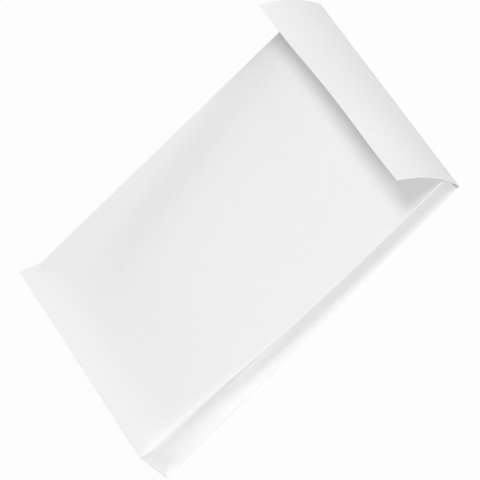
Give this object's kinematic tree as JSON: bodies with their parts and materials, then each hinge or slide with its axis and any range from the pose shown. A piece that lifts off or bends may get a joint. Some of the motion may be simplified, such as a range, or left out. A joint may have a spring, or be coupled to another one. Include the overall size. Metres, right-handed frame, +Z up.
{
  "type": "gusseted envelope",
  "caption": "Plain white block-bottom pocket envelope with inward side gussets, lying open on its back panel with its short-side flap half raised.",
  "frame": {"origin": "middle of the part's box at the floor, under the back panel", "axes": "+X towards the right-hand gusset, +Y from the block bottom to the flap, +Z up, away from the back panel"},
  "size_m": [0.2328, 0.3308, 0.0548],
  "materials": {
    "paper": "matt",
    "liner": "smooth"
  },
  "bodies": {
    "root": {"envelope": "paper", "release_liner": "liner"}
  },
  "joints": []
}
